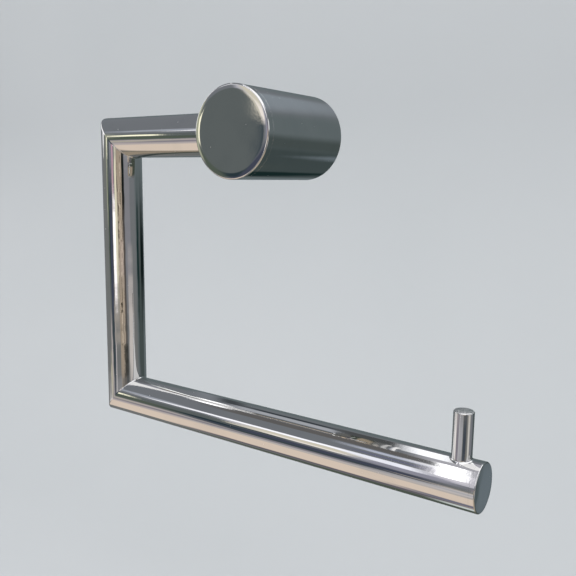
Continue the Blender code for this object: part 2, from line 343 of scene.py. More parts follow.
def carve(piece, *cutters):
    """Cuts the cutters out of the piece and removes them."""
    sources = [surface(piece, 1)] + [surface(cutter, -1) for cutter in cutters]
    for cutter in cutters:
        cut = piece.modifiers.new(cutter.name, "BOOLEAN")
        cut.operation, cut.solver, cut.object = "DIFFERENCE", "EXACT", cutter
    evaluated = piece.evaluated_get(bpy.context.evaluated_depsgraph_get())
    result = bpy.data.meshes.new_from_object(evaluated)
    piece.modifiers.clear()
    for cutter in cutters:
        bpy.data.objects.remove(cutter, do_unlink=True)
    normals = []
    for face in result.polygons:
        best = None
        for source in sources:
            _, normal, _, distance = source[0].find_nearest(face.center)
            if abs(normal.dot(face.normal)) > SAME_PLANE and (best is None or distance < best[0]):
                best = (distance, source)
        for index in face.vertices:
            corner = result.vertices[index].co
            normals.append(direction_at(best[1], corner, face.center) if best else face.normal.copy())
    result.name = piece.name
    piece.data = result
    result.shade_smooth()
    result.normals_split_custom_set([tuple(normal.normalized()) for normal in normals])
    return piece


print("a cut face and its source agree to", SAME_PLANE, "in direction")

# %% [markdown]
# ## The boss
# The boss is a turned sleeve that slides over a bracket on the wall, closed at the front by a buffed cap.
# Buffing presses harder near a rim, so the cap is nearly flat in its middle and falls away towards its
# edge. That is why the photograph shows bright and dark crescents just inside the rim. The places and
# sizes are read from the solids.

# %% Sizes that the solids give
boss_low, boss_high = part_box("boss_sleeve")
drop_low, drop_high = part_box("drop_tube")
pin_low, pin_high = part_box("stop_pin")

BOSS_WALL, TUBE_WALL = 2.5 * MM, 1.5 * MM
CAP_THICKNESS, PLUG_LIP = 3 * MM, 2 * MM
HAIRLINE = 0.02 * MM
BOSS_RADIUS = (boss_high.x - boss_low.x) / 2
BOSS_LENGTH = -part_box("boss_front_cap")[0].y
BOSS_BORE = BOSS_RADIUS - BOSS_WALL
CAP_BACK = BOSS_LENGTH - CAP_THICKNESS
TUBE_RADIUS = (drop_high.y - drop_low.y) / 2
TUBE_BORE = TUBE_RADIUS - TUBE_WALL
ARM_Y = (drop_low.y + drop_high.y) / 2
CORNER_X = (drop_low.x + drop_high.x) / 2
BAR_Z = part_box("roll_bar")[0].z + TUBE_RADIUS
BAR_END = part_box("bar_end_plug")[1].x
BOSS_BACK = Vector((0, 0, 0))
LEFT, RIGHT = Vector((-1, 0, 0)), Vector((1, 0, 0))
DOWN, UP = Vector((0, 0, -1)), Vector((0, 0, 1))
INTO_ROOM = Vector((0, -1, 0))
print("boss", round(2 * BOSS_RADIUS / MM, 1), "tube", round(2 * TUBE_RADIUS / MM, 1), "mm across")

# %% Sleeve
BACK_BEVEL = 0.5 * MM
FRONT_BEVEL = 0.025 * MM
ARM_HOLE_PLAY = 0.05 * MM
SCREW_HOLE_PLAY = 4 * ARM_HOLE_PLAY
SET_SCREW_Y = -7 * MM
SET_SCREW_RADIUS = 2 * MM
FINE_PARTS, BEVEL_PARTS, SIDE_PARTS = 3, 4, 6


def make_boss_sleeve():
    """Tube with a broken back edge, a fine front edge, the arm's hole and the set screw's hole."""
    front = CAP_BACK - HAIRLINE
    strokes = [
        arc((BOSS_RADIUS - FRONT_BEVEL, front - FRONT_BEVEL), FRONT_BEVEL, 90, 0, FINE_PARTS),
        line((BOSS_RADIUS, front - FRONT_BEVEL), (BOSS_RADIUS, BACK_BEVEL), SIDE_PARTS),
        arc((BOSS_RADIUS - BACK_BEVEL, BACK_BEVEL), BACK_BEVEL, 0, -90, BEVEL_PARTS),
        *lines((BOSS_RADIUS - BACK_BEVEL, 0), (BOSS_BORE, 0), (BOSS_BORE, front),
               (BOSS_RADIUS - FRONT_BEVEL, front)),
    ]
    sleeve = turned("boss_sleeve_skin", strokes, BOSS_BACK, INTO_ROOM, BOSS_STEPS)
    arm_hole = turned("arm_hole", peg(TUBE_RADIUS + ARM_HOLE_PLAY, 0, 2 * BOSS_RADIUS),
                      (0, ARM_Y, 0), LEFT, TUBE_STEPS)
    screw_hole = turned("screw_hole", peg(SET_SCREW_RADIUS + SCREW_HOLE_PLAY, 0, 2 * BOSS_RADIUS),
                        (0, SET_SCREW_Y, 0), DOWN, SMALL_STEPS)
    return carve(sleeve, arm_hole, screw_hole)


boss_sleeve = make_boss_sleeve()
print("sleeve faces:", len(boss_sleeve.data.polygons))

# %% Cap
CAP_EDGE = 0.6 * MM
CAP_CROWN = 0.03 * MM
CAP_FALL = 0.11 * MM
FALL_STARTS = 0.87
FACE_PARTS, RIM_PARTS = 40, 14
STUD_RADIUS, STUD_LENGTH = 2.5 * MM, 9 * MM
STUD_CHAMFER, STUD_TIP = STUD_RADIUS / 5, STUD_RADIUS * 4 / 5


def make_boss_cap():
    """Crowned face, soft edge, short side, and the stud that goes into the core."""
    flat_to = BOSS_RADIUS - CAP_EDGE
    fall_from = FALL_STARTS * flat_to

    def face(radius):
        crown = CAP_CROWN * (radius / flat_to) ** 2
        fall = CAP_FALL * (max(radius - fall_from, 0) / (flat_to - fall_from)) ** 2
        return BOSS_LENGTH - crown - fall

    slope = 2 * CAP_CROWN / flat_to + 2 * CAP_FALL / (flat_to - fall_from)
    tilt_at_edge = atan2(slope, 1)
    centre = (BOSS_RADIUS - CAP_EDGE, face(flat_to) - CAP_EDGE)
    meets = centre[0] + CAP_EDGE * sin(tilt_at_edge)
    shift = centre[1] + CAP_EDGE * cos(tilt_at_edge) - face(meets)
    stud_end = CAP_BACK - STUD_LENGTH
    strokes = [
        [(point + Vector((0, shift)), side) for point, side in curve(face, 0, meets, FACE_PARTS)],
        arc(centre, CAP_EDGE, 90 - tilt_at_edge * 180 / pi, 0, RIM_PARTS),
        line((BOSS_RADIUS, centre[1]), (BOSS_RADIUS, CAP_BACK + FRONT_BEVEL)),
        arc((BOSS_RADIUS - FRONT_BEVEL, CAP_BACK + FRONT_BEVEL), FRONT_BEVEL, 0, -90, FINE_PARTS),
        *lines((BOSS_RADIUS - FRONT_BEVEL, CAP_BACK), (STUD_RADIUS, CAP_BACK),
               (STUD_RADIUS, stud_end + STUD_CHAMFER), (STUD_TIP, stud_end), (0, stud_end)),
    ]
    return turned("boss_front_cap_skin", strokes, BOSS_BACK, INTO_ROOM, BOSS_STEPS)


boss_cap = make_boss_cap()
print("cap faces:", len(boss_cap.data.polygons))

# %% [markdown]
# ## The arm
# Three tubes are cut at 45 degrees, welded and polished until the seams are gone, except that the belt
# rounds the outer edge a little and leaves a small hollow in the inner one. A curve with a bevel would make
# the tubes in one, but its corner wouldn't have that edge. A line along the tube that turns the corner is
# two straight runs joined by a small arc, so each tube is drawn line by line up to the seam, with half of
# the arc.

# %% How a tube ends
OUTER_ROUND = 0.5 * MM
INNER_ROUND = 0.4 * MM
SEAM_PARTS = 7
NUDGE = 1e-4
# An end is (base, outwards, towards). At a mitre towards is the next tube's direction, else it is None.


def end_point(end, offset, share):
    """A point of the line at this offset, from 0 at the end of its straight run to 1 at the seam."""
    base, outwards, towards = end
    if towards is None:
        return base + offset
    lean = offset.dot(towards) / offset.length
    radius = OUTER_ROUND + (INNER_ROUND - OUTER_ROUND) * (1 + lean) / 2
    corner = base + offset - outwards * offset.dot(towards)
    angle = share * pi / 4
    centre = corner + (towards - outwards) * radius
    return centre + (outwards * sin(angle) - towards * cos(angle)) * radius


def end_rings(end, radius, spokes):
    """Rings from the end of the straight run to the seam, with their true directions."""
    rings = []
    parts = SEAM_PARTS if end[2] is not None else 0
    for k in range(parts + 1):
        share = k / max(parts, 1)
        ring = []
        for spoke, tangent in spokes:
            point = end_point(end, spoke * radius, share)
            if k == 0:
                ring.append((point, spoke))
                continue
            later = (spoke + tangent * NUDGE).normalized() * radius
            sooner = (spoke - tangent * NUDGE).normalized() * radius
            round_it = end_point(end, later, share) - end_point(end, sooner, share)
            along = end_point(end, spoke * radius, share) - end_point(end, spoke * radius, share - NUDGE)
            normal = round_it.cross(along).normalized()
            ring.append((point, normal if normal.dot(spoke) > 0 else -normal))
        rings.append(ring)
    return rings


def flat_ring(end, radius, spokes):
    """The ring of a bore on the seam's plane, or on the plain end."""
    base, outwards, towards = end
    ring = []
    for spoke, _ in spokes:
        offset = spoke * radius
        point = base + offset if towards is None else base + offset - outwards * offset.dot(towards)
        ring.append((point, -spoke))
    return ring


print("arc over a seam:", OUTER_ROUND / MM, "mm outside and", INNER_ROUND / MM, "mm inside")

# %% Mitred tubes


def facing(ring, normal):
    return [(point, normal) for point, _ in ring]


def make_tube(name, first_end, last_end):
    """A tube between two ends: outside, both end faces and bore."""
    along = last_end[1]
    across = Vector((0, 1, 0))
    other = along.cross(across)
    spokes = []
    for i in range(TUBE_STEPS):
        angle = 2 * pi * i / TUBE_STEPS
        spoke = across * cos(angle) + other * sin(angle)
        spokes.append((spoke, other * cos(angle) - across * sin(angle)))
    first = end_rings(first_end, TUBE_RADIUS, spokes)
    last = end_rings(last_end, TUBE_RADIUS, spokes)
    first_bore = flat_ring(first_end, TUBE_BORE, spokes)
    last_bore = flat_ring(last_end, TUBE_BORE, spokes)
    strips = [first[::-1] + last, [first_bore, last_bore]]
    for end, ring, bore in ((first_end, first[-1], first_bore), (last_end, last[-1], last_bore)):
        normal = end[1] if end[2] is None else (end[1] + end[2]).normalized()
        strips.append([facing(ring, normal), facing(bore, normal)])
    return skin(name, strips)


ARM_START = Vector((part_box("upper_arm_tube")[1].x, ARM_Y, 0))
UPPER_CORNER = Vector((CORNER_X, ARM_Y, 0))
LOWER_CORNER = Vector((CORNER_X, ARM_Y, BAR_Z))
BAR_STOP = Vector((BAR_END - PLUG_LIP - HAIRLINE, ARM_Y, BAR_Z))

upper_arm = make_tube("upper_arm_tube_skin", (ARM_START, RIGHT, None), (UPPER_CORNER, LEFT, DOWN))
drop_tube = make_tube("drop_tube_skin", (UPPER_CORNER, UP, RIGHT), (LOWER_CORNER, DOWN, RIGHT))
roll_bar = make_tube("roll_bar_skin", (LOWER_CORNER, LEFT, UP), (BAR_STOP, RIGHT, None))
print("tube faces:", sum(len(tube.data.polygons) for tube in (upper_arm, drop_tube, roll_bar)))

# %% [markdown]
# ## The end of the bar
# A disc with a spigot closes the bar. Its edge is only broken, so it keeps a thin bright line. The stop pin
# stands in a round seat near the end; belt polishing leaves a small flare where it meets the bar. A Bevel
# would round that corner too, but it breaks up where curved faces meet. The flare's height is measured from
# the bar's round surface instead, so it follows the saddle.

# %% Sizes at the end of the bar
PIN_RADIUS = (pin_high.x - pin_low.x) / 2
PIN_X = (pin_high.x + pin_low.x) / 2
PIN_TOP = pin_high.z - BAR_Z
PIN_FOOT = pin_low.z - BAR_Z
PIN_SHANK = 2 * MM
PIN_SHOULDER = TUBE_RADIUS - 0.8 * MM
PIN_EDGE, PIN_TILT = 0.5 * MM, 8
PLUG_EDGE, PLUG_TILT = 0.45 * MM, 1.5
SPIGOT_LENGTH = 16 * MM
FLARE = 0.7 * MM
FLARE_PARTS, DOME_PARTS, PIN_SIDE_PARTS = 8, 12, 4
BAR_LINE = Vector((0, ARM_Y, BAR_Z))
PIN_LINE = Vector((PIN_X, ARM_Y, BAR_Z))


def crowned_end(radius, edge, top, tilt):
    """A slightly domed end and its rounded edge; tilt is the dome's slope at the edge, in degrees."""
    meets = radius - edge + edge * sin(radians(tilt))
    rise = sin(radians(tilt)) / cos(radians(tilt)) / (2 * meets)
    centre = (radius - edge, top - rise * meets ** 2 - edge * cos(radians(tilt)))
    dome = curve(lambda across: top - rise * across ** 2, 0, meets, DOME_PARTS)
    return [dome, arc(centre, edge, 90 - tilt, 0)]


print("pin stands", round((PIN_TOP - TUBE_RADIUS) / MM, 1), "mm above the bar")

# %% Seat of the pin


def shank_hole(name):
    """A cutter for the hole of the pin's shank."""
    hole = peg(PIN_SHANK + ARM_HOLE_PLAY, PIN_FOOT - ARM_HOLE_PLAY, PIN_TOP)
    return turned(name, hole, PIN_LINE, UP, SMALL_STEPS)


seat = turned("pin_seat", peg(PIN_RADIUS + ARM_HOLE_PLAY, PIN_SHOULDER - ARM_HOLE_PLAY, PIN_TOP),
              PIN_LINE, UP, SMALL_STEPS)
carve(roll_bar, seat, shank_hole("bar_shank_hole"))
print("bar faces with the seat:", len(roll_bar.data.polygons))

# %% Stop pin


def bar_height(offset):
    """How high the bar's surface stands above its middle line, this far to the side."""
    return sqrt(TUBE_RADIUS ** 2 - offset.y ** 2)


def flare_point(spoke, share):
    """A point of the flare: share 0 is its top edge and 1 its foot."""
    angle = share * pi / 2
    offset = spoke * (PIN_RADIUS + FLARE * (1 - cos(angle)))
    return PIN_LINE + offset + UP * (bar_height(offset) + FLARE * (1 - sin(angle)) - HAIRLINE)


def flare_ring(spokes, share):
    """One ring of the flare, with its true directions."""
    ring = []
    for spoke in spokes:
        aside = UP.cross(spoke) * NUDGE
        later, sooner = (spoke + aside).normalized(), (spoke - aside).normalized()
        round_it = flare_point(later, share) - flare_point(sooner, share)
        down = flare_point(spoke, min(share + NUDGE, 1)) - flare_point(spoke, max(share - NUDGE, 0))
        normal = round_it.cross(down).normalized()
        outwards = normal.dot(spoke) > 0 or normal.z > 0
        ring.append((flare_point(spoke, share), normal if outwards else -normal))
    return ring


def make_stop_pin():
    """The turned body down to the flare, the flare on the saddle, and the shank."""
    body = crowned_end(PIN_RADIUS, PIN_EDGE, PIN_TOP, PIN_TILT)
    body.append(line(tuple(body[1][-1][0]), (PIN_RADIUS, TUBE_RADIUS + FLARE), PIN_SIDE_PARTS))
    lower = lines((PIN_RADIUS, PIN_SHOULDER), (PIN_SHANK, PIN_SHOULDER), (PIN_SHANK, PIN_FOOT), (0, PIN_FOOT))
    strips = turned_strips(body + lower, PIN_LINE, UP, SMALL_STEPS)
    axis, across, other = frame_about(UP)
    turns = [2 * pi * i / SMALL_STEPS for i in range(SMALL_STEPS)]
    spokes = [across * cos(angle) + other * sin(angle) for angle in turns]
    flare = [flare_ring(spokes, k / FLARE_PARTS) for k in range(FLARE_PARTS + 1)]
    body_foot = UP * (TUBE_RADIUS + FLARE)
    shoulder = Vector((PIN_X, ARM_Y, BAR_Z + PIN_SHOULDER))
    collar = [[(PIN_LINE + spoke * PIN_RADIUS + body_foot, spoke) for spoke in spokes],
              [(point, spoke) for (point, _), spoke in zip(flare[0], spokes)]]
    skirt = [[(shoulder + spoke * PIN_RADIUS, spoke) for spoke in spokes],
             [(point, spoke) for (point, _), spoke in zip(flare[-1], spokes)]]
    return skin("stop_pin_skin", strips + [collar, flare, skirt])


stop_pin = make_stop_pin()
print("pin faces:", len(stop_pin.data.polygons))

# %% End plug


def make_end_plug():
    """Disc, short side and spigot, with the hole of the pin's shank."""
    inside = BAR_END - SPIGOT_LENGTH
    spigot = TUBE_BORE - HAIRLINE
    strokes = crowned_end(TUBE_RADIUS, PLUG_EDGE, BAR_END, PLUG_TILT) + lines(
        (TUBE_RADIUS, BAR_END - PLUG_EDGE), (TUBE_RADIUS, BAR_END - PLUG_LIP),
        (spigot, BAR_END - PLUG_LIP), (spigot, inside + PLUG_EDGE),
        (spigot - PLUG_EDGE, inside), (0, inside))
    plug = turned("bar_end_plug_skin", strokes, BAR_LINE, RIGHT, TUBE_STEPS)
    return carve(plug, shank_hole("plug_shank_hole"))


end_plug = make_end_plug()
print("plug faces:", len(end_plug.data.polygons))

# %% [markdown]
# ## Behind the scenes
# The bracket and the set screw show from behind and below: a turned cup with two sunk holes for the wall
# screws, and a small socket screw with a cone point. Both are turned and cut like the boss. The core, the
# arm's insert and the clamp screw are closed in, so the solids stand for them as they are.

# %% Bracket
bracket_low, bracket_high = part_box("wall_bracket")
BRACKET_RADIUS = (bracket_high.x - bracket_low.x) / 2
BRACKET_DEPTH = -bracket_low.y
BRACKET_RIM, BRACKET_FLOOR = 3.5 * MM, 3 * MM
BRACKET_CUP = BRACKET_RADIUS - BRACKET_RIM
BRACKET_EDGE = 0.25 * MM
GROOVE = 1.6 * MM
WALL_HOLE, WALL_SINK = 2.2 * MM, 4 * MM
SINK_TO_RIM = 0.2 * MM
WALL_HOLE_Z = BRACKET_CUP - SINK_TO_RIM - WALL_SINK


def make_wall_bracket():
    """A cup with a groove for the set screw's point, and two sunk holes in its floor."""
    outer = BRACKET_RADIUS - BRACKET_EDGE
    groove_at = -SET_SCREW_Y
    strokes = lines(
        (0, BRACKET_FLOOR), (BRACKET_CUP, BRACKET_FLOOR), (BRACKET_CUP, BRACKET_DEPTH),
        (outer, BRACKET_DEPTH), (BRACKET_RADIUS, BRACKET_DEPTH - BRACKET_EDGE),
        (BRACKET_RADIUS, groove_at + GROOVE), (BRACKET_RADIUS - GROOVE, groove_at),
        (BRACKET_RADIUS, groove_at - GROOVE), (BRACKET_RADIUS, BRACKET_EDGE),
        (outer, 0), (0, 0))
    bracket = turned("wall_bracket_skin", strokes, BOSS_BACK, INTO_ROOM, TUBE_STEPS)
    above, below = 2 * BRACKET_FLOOR, -BRACKET_FLOOR
    hole = lines(
        (0, above), (WALL_SINK, above), (WALL_SINK, BRACKET_FLOOR),
        (WALL_HOLE, BRACKET_FLOOR - WALL_SINK + WALL_HOLE), (WALL_HOLE, below), (0, below))
    upper = turned("upper_hole", hole, (0, 0, WALL_HOLE_Z), INTO_ROOM, SMALL_STEPS)
    lower = turned("lower_hole", hole, (0, 0, -WALL_HOLE_Z), INTO_ROOM, SMALL_STEPS)
    return carve(bracket, upper, lower)


bracket = make_wall_bracket()
print("bracket is", round(2 * BRACKET_RADIUS / MM, 1), "mm across, its holes",
      round(2 * WALL_HOLE_Z / MM, 1), "mm apart")

# %% Set screw
SCREW_CHAMFER = 0.3 * MM
KEY_FLAT = 1 * MM
KEY_DEPTH, KEY_ABOVE = 1.8 * MM, 1 * MM


def hexagon_peg(name, radius, foot, top, place):
    """A hexagonal peg below the boss, each face flat."""
    points = [Vector(place) + DOWN * level + Vector((cos(pi * k / 3), sin(pi * k / 3), 0)) * radius
              for level in (foot, top) for k in range(6)]
    faces = [[k, (k + 1) % 6, 6 + (k + 1) % 6, 6 + k] for k in range(6)]
    faces += [list(range(6)), list(range(6, 12))]
    middle = sum(points, Vector()) / len(points)
    normals = []
    for face in faces:
        first, second, third = (points[index] for index in face[:3])
        normal = (second - first).cross(third - second).normalized()
        if normal.dot(first - middle) < 0:
            face.reverse()
            normal = -normal
        normals += [normal] * len(face)
    return shown_mesh(name, points, faces, normals)


def make_set_screw():
    """A socket screw with a cone point, its head down."""
    low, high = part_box("boss_set_screw")
    head, point = -low.z, -high.z
    strokes = lines(
        (0, head), (SET_SCREW_RADIUS - SCREW_CHAMFER, head), (SET_SCREW_RADIUS, head - SCREW_CHAMFER),
        (SET_SCREW_RADIUS, point + SET_SCREW_RADIUS), (0, point))
    place = (0, SET_SCREW_Y, 0)
    screw = turned("boss_set_screw_skin", strokes, place, DOWN, SMALL_STEPS)
    key_corner = KEY_FLAT / cos(pi / 6)
    socket = hexagon_peg("key_socket", key_corner, head - KEY_DEPTH, head + KEY_ABOVE, place)
    return carve(screw, socket)


set_screw = make_set_screw()
print("key for the set screw:", round(2 * KEY_FLAT / MM, 1), "mm")

# %% Where each piece belongs
SKINS = [
    (boss_sleeve, "boss_sleeve", "polished_steel"),
    (boss_cap, "boss_front_cap", "polished_steel"),
    (upper_arm, "upper_arm_tube", "polished_steel"),
    (drop_tube, "drop_tube", "polished_steel"),
    (roll_bar, "roll_bar", "polished_steel"),
    (end_plug, "bar_end_plug", "polished_steel"),
    (stop_pin, "stop_pin", "polished_steel"),
    (bracket, "wall_bracket", "machined_steel"),
    (set_screw, "boss_set_screw", "dark_screw_steel"),
]
for piece, node, slot in SKINS:
    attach(piece, "root")
    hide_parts(node)
print(len(SKINS), "pieces stand for their solids")

# %% [markdown]
# ## Finishes
# Polished steel is a mirror with faults. The belt leaves long shallow waves that bend straight reflections,
# a fine orange peel that breaks them into grain, smudges that dull it a little, and dust that shows as white
# specks. Tiny pits are painted white, as glints. The pin's top was only sawn, so it is duller than its side.
# An image could hold such faults, but noise needs no file. The waves are heights for a bump, in metres.

# %% Noise, specks and bumps


def place(sheet):
    """Positions on the piece, in metres."""
    return sheet.add("ShaderNodeTexCoord", output="Object")


def noise(sheet, where, size, detail=2.0, roughness=0.5, stretch=(1, 1, 1)):
    """Noise between 0 and 1 with features of about this size, in metres; stretch is per axis."""
    scale = tuple(1 / (size * share) for share in stretch)
    scaled = sheet.add("ShaderNodeMapping", {}, {"Vector": where, "Scale": scale})
    return sheet.add("ShaderNodeTexNoise", {}, {
        "Vector": scaled, "Scale": 1.0, "Detail": detail, "Roughness": roughness})


def specks(sheet, where, cell, radius, share):
    """Small round spots: 1 on a spot, in this share of the cells."""
    scaled = sheet.add("ShaderNodeMapping", {}, {"Vector": where, "Scale": (1 / cell, 1 / cell, 1 / cell)})
    distance = sheet.add("ShaderNodeTexVoronoi", {}, {"Vector": scaled, "Scale": 1.0}, "Distance")
    chance = sheet.add("ShaderNodeTexVoronoi", {}, {"Vector": scaled, "Scale": 1.0}, "Color")
    pick = sheet.add("ShaderNodeSeparateColor", {}, {"Color": chance})
    return (1 - distance.above(0.5 * radius / cell, radius / cell)) * pick.math("LESS_THAN", pick, share)


def bump(sheet, height):
    """A bump from heights in metres."""
    return sheet.add("ShaderNodeBump", {}, {"Height": height, "Distance": 1.0, "Strength": 1.0})


print("faults: noise, specks and bumps")

# %% Polished steel
CLEAN_STEEL, SMUDGED_STEEL = (0.74, 0.735, 0.72, 1), (0.70, 0.70, 0.69, 1)
# the white of dust specks, and the painted glint on each pit
DUST_AND_GLINT_WHITE = (0.92, 0.92, 0.9, 1)
SMUDGE = 12 * MM
DUST_APART, DUST_RADIUS = 2.2 * MM, 0.16 * MM
PITS_APART, PIT_RADIUS = 3.7 * MM, 0.21 * MM
PEEL, PEEL_HEIGHT = 1.1 * MM, 0.003 * MM
SAW_GRAIN = 0.4 * MM
SAWN_DEPTH = 0.5 * MM
SAWN_FADES = 0.1 * MM
CLEAN_ROUGH, SMUDGE_ROUGH, SPECK_ROUGH = 0.03, 0.03, 0.4
SAWN_ROUGH, SAWN_VARIES = 0.2, 0.3


def higher_than(sheet, where, height):
    """1 above a height and 0 below it."""
    parts = sheet.add("ShaderNodeSeparateXYZ", {}, {"Vector": where})
    return parts.output("Z").above(height, height + SAWN_FADES)


def polished_steel(name, wave=0.06 * MM, size=6 * MM, stretch=(1, 1, 1), dust_and_glint_share=0.3, cut=None):
    """wave and size are of the belt's waves, dusty is the share of specks, and above cut it is sawn."""
    sheet, shader, material = finish(name, Metallic=1.0, Roughness=0.05)
    where = place(sheet)
    smudge = noise(sheet, where, SMUDGE, 3).above(0.45, 0.75)
    dust = specks(sheet, where, DUST_APART, DUST_RADIUS, dust_and_glint_share)
    pits = specks(sheet, where, PITS_APART, PIT_RADIUS, dust_and_glint_share)
    # dust specks, and pits painted white as glints
    white = dust.math("MAXIMUM", dust, pits)
    steel = sheet.mixed(smudge, CLEAN_STEEL, SMUDGED_STEEL)
    sheet.feed(shader["Base Color"], sheet.mixed(white, steel, DUST_AND_GLINT_WHITE))
    rough = CLEAN_ROUGH + smudge * SMUDGE_ROUGH + white * SPECK_ROUGH
    if cut:
        sawn = higher_than(sheet, where, cut)
        grain = noise(sheet, where, SAW_GRAIN, 3, 0.7).above(0.35, 0.65)
        rough = rough + sawn * (SAWN_ROUGH + grain * SAWN_VARIES)
    sheet.feed(shader["Roughness"], rough)
    long_waves = noise(sheet, where, size, 1, stretch=stretch) * wave
    peel = noise(sheet, where, PEEL, 2) * PEEL_HEIGHT
    sheet.feed(shader["Normal"], bump(sheet, long_waves + peel))
    return material


POLISHED_X = polished_steel("polished_along_x", stretch=(3.5, 1, 1))
POLISHED_Z = polished_steel("polished_along_z", wave=0.1 * MM, stretch=(1, 1, 1.6))
POLISHED_CAP = polished_steel("polished_cap", wave=0.03 * MM, size=9 * MM, dust_and_glint_share=0.12)
POLISHED_PIN = polished_steel("polished_pin", stretch=(1, 1, 1.6), cut=BAR_Z + PIN_TOP - SAWN_DEPTH)
print("polished steel ready")

# %% [markdown]
# The bracket is turned bar stock that nobody sees, so its tool marks stay: fine rings about its axis. A
# Wave Texture could draw rings too, but a sine of the radius gives them in metres. The grub screws are
# blackened, worn bright where the key and the thread rub.

# %% Machined steel and blackened screws
TURNED_STEEL, STAINED_STEEL = (0.56, 0.55, 0.53, 1), (0.42, 0.39, 0.35, 1)
TOOL_MARK, MARK_HEIGHT = 0.25 * MM, 0.0022 * MM
STAIN, WOBBLE = 6 * MM, 4 * MM
BLACKENED, WORN_BRIGHT = (0.035, 0.034, 0.036, 1), (0.33, 0.31, 0.29, 1)
WEAR, GRAIN, GRAIN_HEIGHT = 0.9 * MM, 0.3 * MM, 0.015 * MM


def machined_steel():
    sheet, shader, material = finish("machined_steel", Metallic=1.0)
    where = place(sheet)
    parts = sheet.add("ShaderNodeSeparateXYZ", {}, {"Vector": where})
    across, high = parts.output("X"), parts.output("Z")
    radius = across.math("SQRT", across * across + high * high)
    wobble = noise(sheet, where, WOBBLE, 2) * 0.3
    rings = radius.math("SINE", radius * (2 * pi / TOOL_MARK) + wobble)
    stain = noise(sheet, where, STAIN, 4, 0.6).above(0.45, 0.8)
    sheet.feed(shader["Base Color"], sheet.mixed(stain, TURNED_STEEL, STAINED_STEEL))
    sheet.feed(shader["Roughness"], 0.28 + rings * 0.06 + stain * 0.18)
    sheet.feed(shader["Normal"], bump(sheet, rings * MARK_HEIGHT))
    return material


def dark_screw_steel():
    sheet, shader, material = finish("dark_screw_steel", Metallic=1.0)
    where = place(sheet)
    worn = noise(sheet, where, WEAR, 4, 0.65).above(0.52, 0.7)
    grain = noise(sheet, where, GRAIN, 2)
    sheet.feed(shader["Base Color"], sheet.mixed(worn, BLACKENED, WORN_BRIGHT))
    sheet.feed(shader["Roughness"], 0.5 - worn * 0.2 + grain * 0.1)
    sheet.feed(shader["Normal"], bump(sheet, grain * GRAIN_HEIGHT))
    return material


MACHINED, DARK_SCREW = machined_steel(), dark_screw_steel()
print("hidden steel ready")

# %% Which piece has which finish
FINISHES = [
    (POLISHED_X, [upper_arm, roll_bar, end_plug]),
    (POLISHED_Z, [drop_tube]),
    (POLISHED_PIN, [stop_pin]),
    (POLISHED_CAP, [boss_cap, boss_sleeve]),
    (MACHINED, [bracket, bpy.data.objects["boss_core"], bpy.data.objects["arm_insert"]]),
    (DARK_SCREW, [set_screw, bpy.data.objects["arm_clamp_screw"]]),
]
for material, pieces in FINISHES:
    for piece in pieces:
        piece.data.materials.clear()
        piece.data.materials.append(material)
print("finishes on", sum(len(pieces) for _, pieces in FINISHES), "pieces")

# %% [markdown]
# ## The studio
# The camera sees a pale floor that turns up well behind the holder, in one sweep. Soft panels light it from
# above and from both sides; the mirrors don't see them. One bare lamp would do, but with hard shadows.

# %% Floor and backdrop
FLOOR_Z = -0.36
SWEEP_Y, SWEEP_RADIUS, SWEEP_TOP, SWEEP_SIDE = 0.2, 0.45, 1.6, 4.0
FLOOR_FRONT = -3.0
SWEEP_PARTS = 24
PALE, PALER = (0.60, 0.62, 0.63, 1), (0.66, 0.67, 0.68, 1)
MOTTLE = 0.4


def make_backdrop():
    profile = [(FLOOR_FRONT, FLOOR_Z), (SWEEP_Y, FLOOR_Z)]
    for k in range(1, SWEEP_PARTS + 1):
        angle = pi / 2 * k / SWEEP_PARTS
        profile.append((SWEEP_Y + SWEEP_RADIUS * sin(angle), FLOOR_Z + SWEEP_RADIUS * (1 - cos(angle))))
    profile.append((SWEEP_Y + SWEEP_RADIUS, SWEEP_TOP))
    points = [(side, y, z) for y, z in profile for side in (-SWEEP_SIDE, SWEEP_SIDE)]
    faces = [(2 * i, 2 * i + 1, 2 * i + 3, 2 * i + 2) for i in range(len(profile) - 1)]
    mesh = bpy.data.meshes.new("backdrop")
    mesh.from_pydata(points, [], faces)
    mesh.shade_smooth()
    obj = bpy.data.objects.new("backdrop", mesh)
    bpy.context.scene.collection.objects.link(obj)
    sheet, shader, material = finish("backdrop", Roughness=0.9)
    mottle = noise(sheet, place(sheet), MOTTLE, 2)
    sheet.feed(shader["Base Color"], sheet.mixed(mottle, PALE, PALER))
    mesh.materials.append(material)
    obj.visible_glossy = False


make_backdrop()
print("floor", FLOOR_Z, "m from the boss's axis")

# %% Lamps
MIDDLE = Vector((0.0, -0.035, -0.05))


def direction(elevation, azimuth):
    """The way out at this height and this turn from +X, in degrees."""
    up, round_it = radians(elevation), radians(azimuth)
    return Vector((cos(up) * cos(round_it), cos(up) * sin(round_it), sin(up)))


def lamp(name, elevation, azimuth, distance, size, brightness):
    """A square soft panel that faces the middle; brightness is the panel's own, where 1 is white."""
    data = bpy.data.lights.new(name, "AREA")
    data.shape, data.size = "SQUARE", size
    data.energy = brightness * size * size * pi
    obj = bpy.data.objects.new(name, data)
    out = direction(elevation, azimuth)
    facing_middle = out.to_track_quat("Z", "Y").to_matrix().to_4x4()
    obj.matrix_world = Matrix.Translation(MIDDLE + out * distance) @ facing_middle
    obj.visible_glossy = False
    bpy.context.scene.collection.objects.link(obj)


lamp("overhead", 78, -100, 2.0, 1.8, 1.6)
lamp("left", 30, -150, 2.2, 1.2, 1.2)
lamp("right", 35, -40, 2.2, 1.2, 1.0)
print(len(bpy.data.lights), "lamps")
